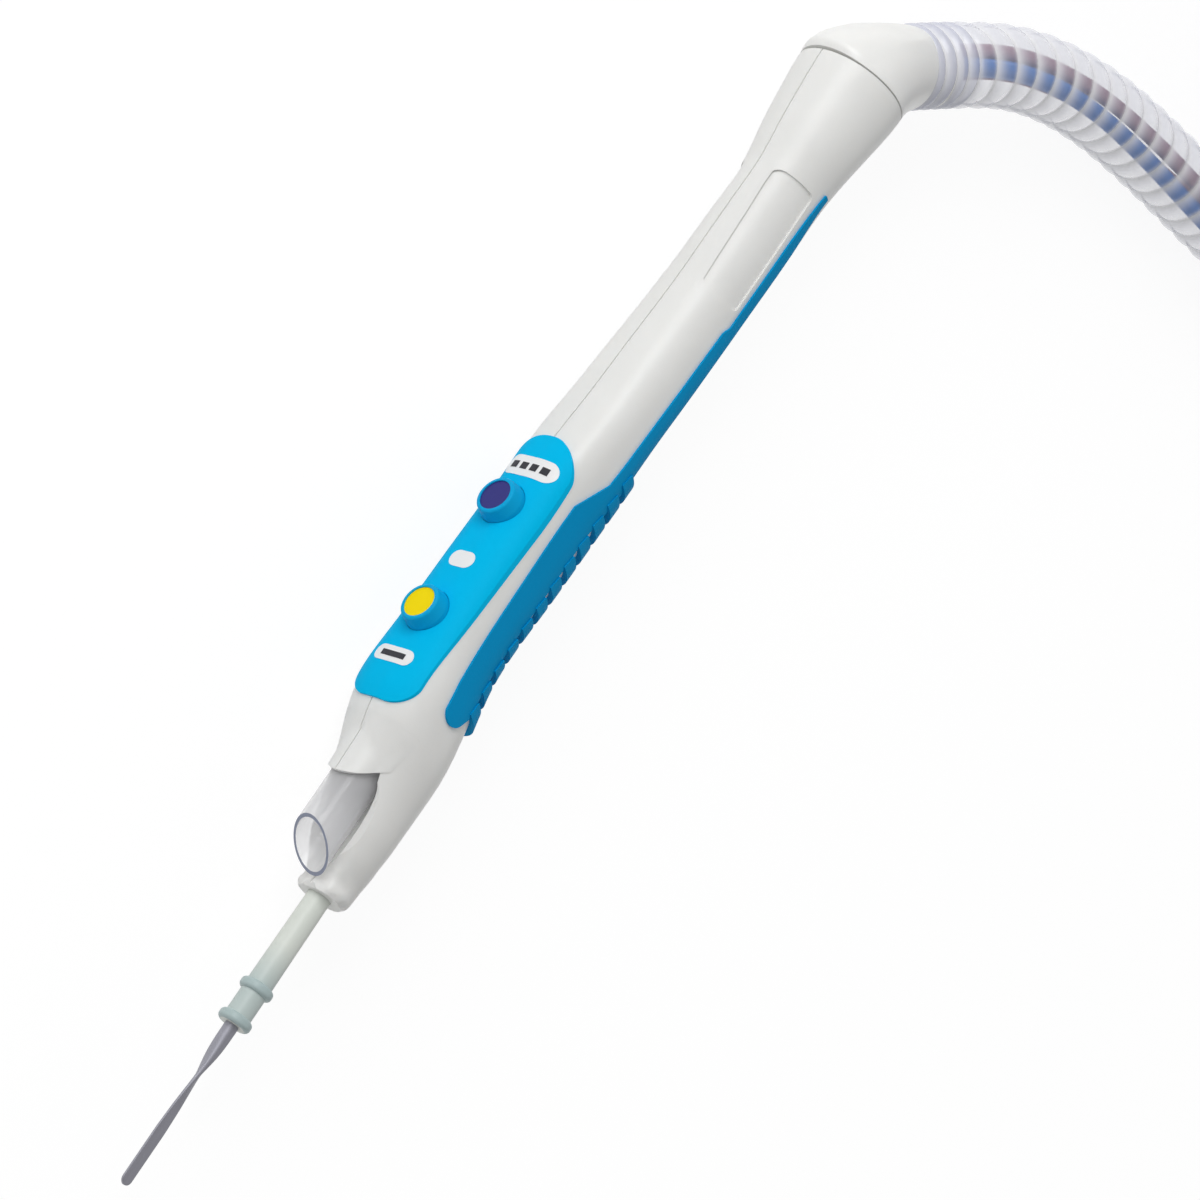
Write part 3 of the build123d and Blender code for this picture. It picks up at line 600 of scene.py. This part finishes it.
def fill_nose(far):
    """Rounds the tip of the nose and fills the waist behind it, away from the nozzle's trough."""
    distance, height, left = far.T
    fullness = np.interp(
        distance, [0, 0.35, 0.9, 1.6, 2.9, 3.6, 5.1, 6.6, 8.1, 9.6],
        [0.89, 1.03, 1.15, 1.24, 1.29, 1.27, 1.19, 1.09, 1.02, 1.0],
    )
    centre = np.interp(distance, [0, 7.1, 14.0], [-4.0, -3.05, -1.75])
    reach = np.hypot(height - centre, left)
    from_nozzle = np.hypot(height - NOZZLE_HEIGHT, left)
    clear = np.clip((from_nozzle - 5.0) / 1.2, 0, 1)
    tip = np.interp(distance, [0, 0.4, 1.0, 1.8, 2.8], [0.8, 0.88, 0.94, 0.98, 1.0])
    grow = 1 + ((fullness - 1) * clear + (tip - 1) * (1 - clear)) * np.clip(reach - 2.6, 0, 1)
    return np.stack([distance, centre + (height - centre) * grow, left * grow], axis=1)


def shape_knee(far):
    """Lets the elbow's crown rise quickly behind the seam and run level to the hose."""
    distance, height, left = far.T
    out = np.array([0.446, 0.895])
    past = distance - HANDLE_LENGTH
    steps = np.arange(-3, 24, 0.05)
    kept = np.interp(
        steps, [0, 1.2, 2.5, 4, 6, 8.5, 11.5, 15, 19],
        [1, 1.386, 1.255, 1.17, 1.015, 0.835, 0.685, 0.66, 0.885],
    )
    kept = np.convolve(np.pad(kept, 12, mode="edge"), np.ones(25) / 25, mode="valid")
    level = past * out[0] + height * out[1] - np.interp(past, [0, 9, 13, 17], [6, 6, 4.2, 2.5])
    drop = np.where(past > 0, 1 - np.interp(past, steps, kept), 0) * np.clip(level, 0, None)
    return np.stack([distance - drop * out[0], height - drop * out[1], left], axis=1)


def fill_sleeve(far):
    """Makes the sleeve a little stouter in front of the nose."""
    distance, height, left = far.T
    reach = np.hypot(height - ELECTRODE_HEIGHT, left)
    grow = 1 + 0.08 * np.clip(-distance - 0.2, 0, 1) * ((reach > 1.6) & (reach < 2.1))
    return np.stack([distance, ELECTRODE_HEIGHT + (height - ELECTRODE_HEIGHT) * grow, left * grow], axis=1)


reshape("left_shell", "handle", fill_nose)
reshape("right_shell", "handle", fill_nose)
reshape("swivel_elbow", "hose_end", shape_knee, 2)
reshape("electrode_sleeve", "electrode", fill_sleeve)


def twisted_blade():
    """Round shaft, flattened and turned a quarter into a blade with a round end."""
    # Distance behind the nose, half width and half thickness in mm, turn, and how square it is
    ends, wide, thin, turned, square = np.array([
        (SHAFT_END, SHAFT_RADIUS, SHAFT_RADIUS, 90, 2), (-24.0, SHAFT_RADIUS, SHAFT_RADIUS, 90, 2),
        (-26.8, 1.19, 1.16, 88, 2), (-29.0, 1.2, 0.98, 78, 2.2), (-31.4, 1.18, 0.66, 63, 2.8),
        (-33.7, 1.15, 0.4, 45, 3.4), (-36.2, 1.13, 0.3, 29, 4), (-39.5, 1.12, 0.27, 13, 4),
        (-44.0, 1.12, 0.26, 0, 4), (BLADE_TIP, 1.12, 0.25, 0, 4),
    ]).T
    round_end = 1.12
    shoulder = BLADE_TIP + round_end
    cuts = np.concatenate([
        [SHAFT_END], np.linspace(-24, shoulder, 60), shoulder - round_end * np.sin(np.linspace(0.15, 1.5, 9)),
    ])
    sides = 28
    verts, faces = [], []
    for cut in cuts:
        half, thick, angle, power = [np.interp(-cut, -ends, row) for row in (wide, thin, turned, square)]
        if cut < shoulder:
            half *= math.sqrt(max(0.0, 1 - ((shoulder - cut) / round_end) ** 2))
        cosine, sine = math.cos(math.radians(angle)), math.sin(math.radians(angle))
        for k in range(sides):
            c, t = math.cos(2 * math.pi * k / sides), math.sin(2 * math.pi * k / sides)
            a = half * math.copysign(abs(c) ** (2 / power), c)
            b = thick * math.copysign(abs(t) ** (2 / power), t)
            verts.append(at(cut, ELECTRODE_HEIGHT + a * cosine - b * sine, a * sine + b * cosine))
    for ring in range(len(cuts) - 1):
        for k in range(sides):
            here, after = ring * sides, (k + 1) % sides
            faces.append((here + k, here + after, here + sides + after, here + sides + k))
    faces.append(tuple(range(sides - 1, -1, -1)))
    faces.append(tuple(range(len(verts) - sides, len(verts))))
    piece = mesh_piece("twisted_blade", verts, faces, [blade_steel])
    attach(piece, "electrode")
    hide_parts("electrode_blade")


twisted_blade()


# Printed pills on the button panel
panel = nodes["button_panel"]


def drape(distance, left, lift):
    """Point on the panel's face above a distance and an offset, in metres."""
    above = at(distance, 30, left)
    _, spot, normal, _ = panel.ray_cast(above, Vector((0, 1, 0)))
    return spot + normal * lift * MM


def pill(name, distance, left, half_width, half_length):
    """A white printed patch with round ends that lies on the panel."""
    rows, columns = 25, 33
    verts, faces = [], []
    for i in range(rows):
        v = -1 + 2 * i / (rows - 1)
        for j in range(columns):
            along = -half_length * math.cos(math.pi * j / (columns - 1))
            bulge = math.sqrt(max(0.0, half_length ** 2 - along ** 2))
            side = v * (half_width - half_length + bulge)
            verts.append(drape(distance + along, left + side, 0.05))
    for i in range(rows - 1):
        for j in range(columns - 1):
            a = i * columns + j
            faces.append((a, a + 1, a + columns + 1, a + columns))
    piece = mesh_piece(name, verts, faces, [pill_white])
    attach(piece, "handle")


CUT_PILL, MIDDLE_PILL, COAG_PILL = 35.9, 54.8, 73.6
pill("cut_pill", CUT_PILL, -0.6, 4.2, 1.4)
pill("middle_pill", MIDDLE_PILL, -0.2, 2.6, 1.5)
pill("coag_pill", COAG_PILL, 0.0, 5.5, 1.9)


def bar_marks(name, distance, spans, half_height):
    """Plain bars printed on a pill, each from one offset to another."""
    verts, faces = [], []
    columns = 9
    for start, end in spans:
        base = len(verts)
        for j in range(columns):
            left = start + (end - start) * j / (columns - 1)
            for edge in (-half_height, half_height):
                verts.append(drape(distance + edge, left, 0.09))
        for j in range(columns - 1):
            a = base + 2 * j
            faces.append((a, a + 1, a + 3, a + 2))
    piece = mesh_piece(name, verts, faces, [legend_ink])
    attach(piece, "handle")


bar_marks("cut_mark", CUT_PILL, [(-3.2, 2.0)], 0.5)
bar_marks("coag_mark", COAG_PILL, [(-4.1 + 2.2 * i, -2.6 + 2.2 * i) for i in range(4)], 0.65)

# Floor, light and background. The floor is white where it is seen, and keeps a faint shadow.
SHADOW_SHARE = 0.2
FLOOR_GLOW = 1.11
floor_mat, floor_tree, floor_shader = new_material("floor")
floor_shader.inputs["Base Color"].default_value = (0.9, 0.9, 0.9, 1)
floor_shader.inputs["Roughness"].default_value = 0.9
floor_shader.inputs["Specular IOR Level"].default_value = 0.1
glow = floor_tree.nodes.new("ShaderNodeEmission")
glow.inputs["Color"].default_value = (1, 1, 1, 1)
glow.inputs["Strength"].default_value = FLOOR_GLOW
seen = floor_tree.nodes.new("ShaderNodeLightPath")
rays = larger(floor_tree, seen.outputs["Is Camera Ray"], seen.outputs["Is Glossy Ray"])
rays = larger(floor_tree, rays, seen.outputs["Is Transmission Ray"])
floor_mix = floor_tree.nodes.new("ShaderNodeMixShader")
floor_tree.links.new(spread(floor_tree, rays, 0.0, 1.0, 0.0, 1 - SHADOW_SHARE), floor_mix.inputs["Fac"])
floor_tree.links.new(floor_shader.outputs["BSDF"], floor_mix.inputs[1])
floor_tree.links.new(glow.outputs["Emission"], floor_mix.inputs[2])
floor_tree.links.new(floor_mix.outputs["Shader"], floor_tree.nodes["Material Output"].inputs["Surface"])
far = 6.0
floor_mesh = bpy.data.meshes.new("floor")
floor_corners = [(-far, -far, 0), (far, -far, 0), (far, far, 0), (-far, far, 0)]
floor_mesh.from_pydata(floor_corners, [], [(0, 1, 2, 3)])
floor_mesh.materials.append(floor_mat)
floor = link(bpy.data.objects.new("floor", floor_mesh))

world = bpy.data.worlds.new("studio")
scene.world = world
world.use_nodes = True
background = world.node_tree.nodes["Background"]
background.inputs["Color"].default_value = (1, 1, 1, 1)
background.inputs["Strength"].default_value = 0.38


def area(name, place, target, width, height, power):
    data = bpy.data.lights.new(name, "AREA")
    data.shape = "RECTANGLE"
    data.size = width
    data.size_y = height
    data.energy = power
    lamp = link(bpy.data.objects.new(name, data))
    lamp.location = place
    lamp.rotation_mode = "QUATERNION"
    lamp.rotation_quaternion = (Vector(target) - Vector(place)).to_track_quat("-Z", "Y")


area("key", (-0.40, -0.85, 0.46), (-0.05, 0, 0.01), 0.8, 0.5, 5.6)
area("fill", (0.35, -0.75, 1.0), (0, 0, 0.01), 0.5, 0.5, 0.4)
area("back", (-0.5, 1.2, 0.8), (-0.15, 0.05, 0.03), 0.8, 0.8, 1.4)
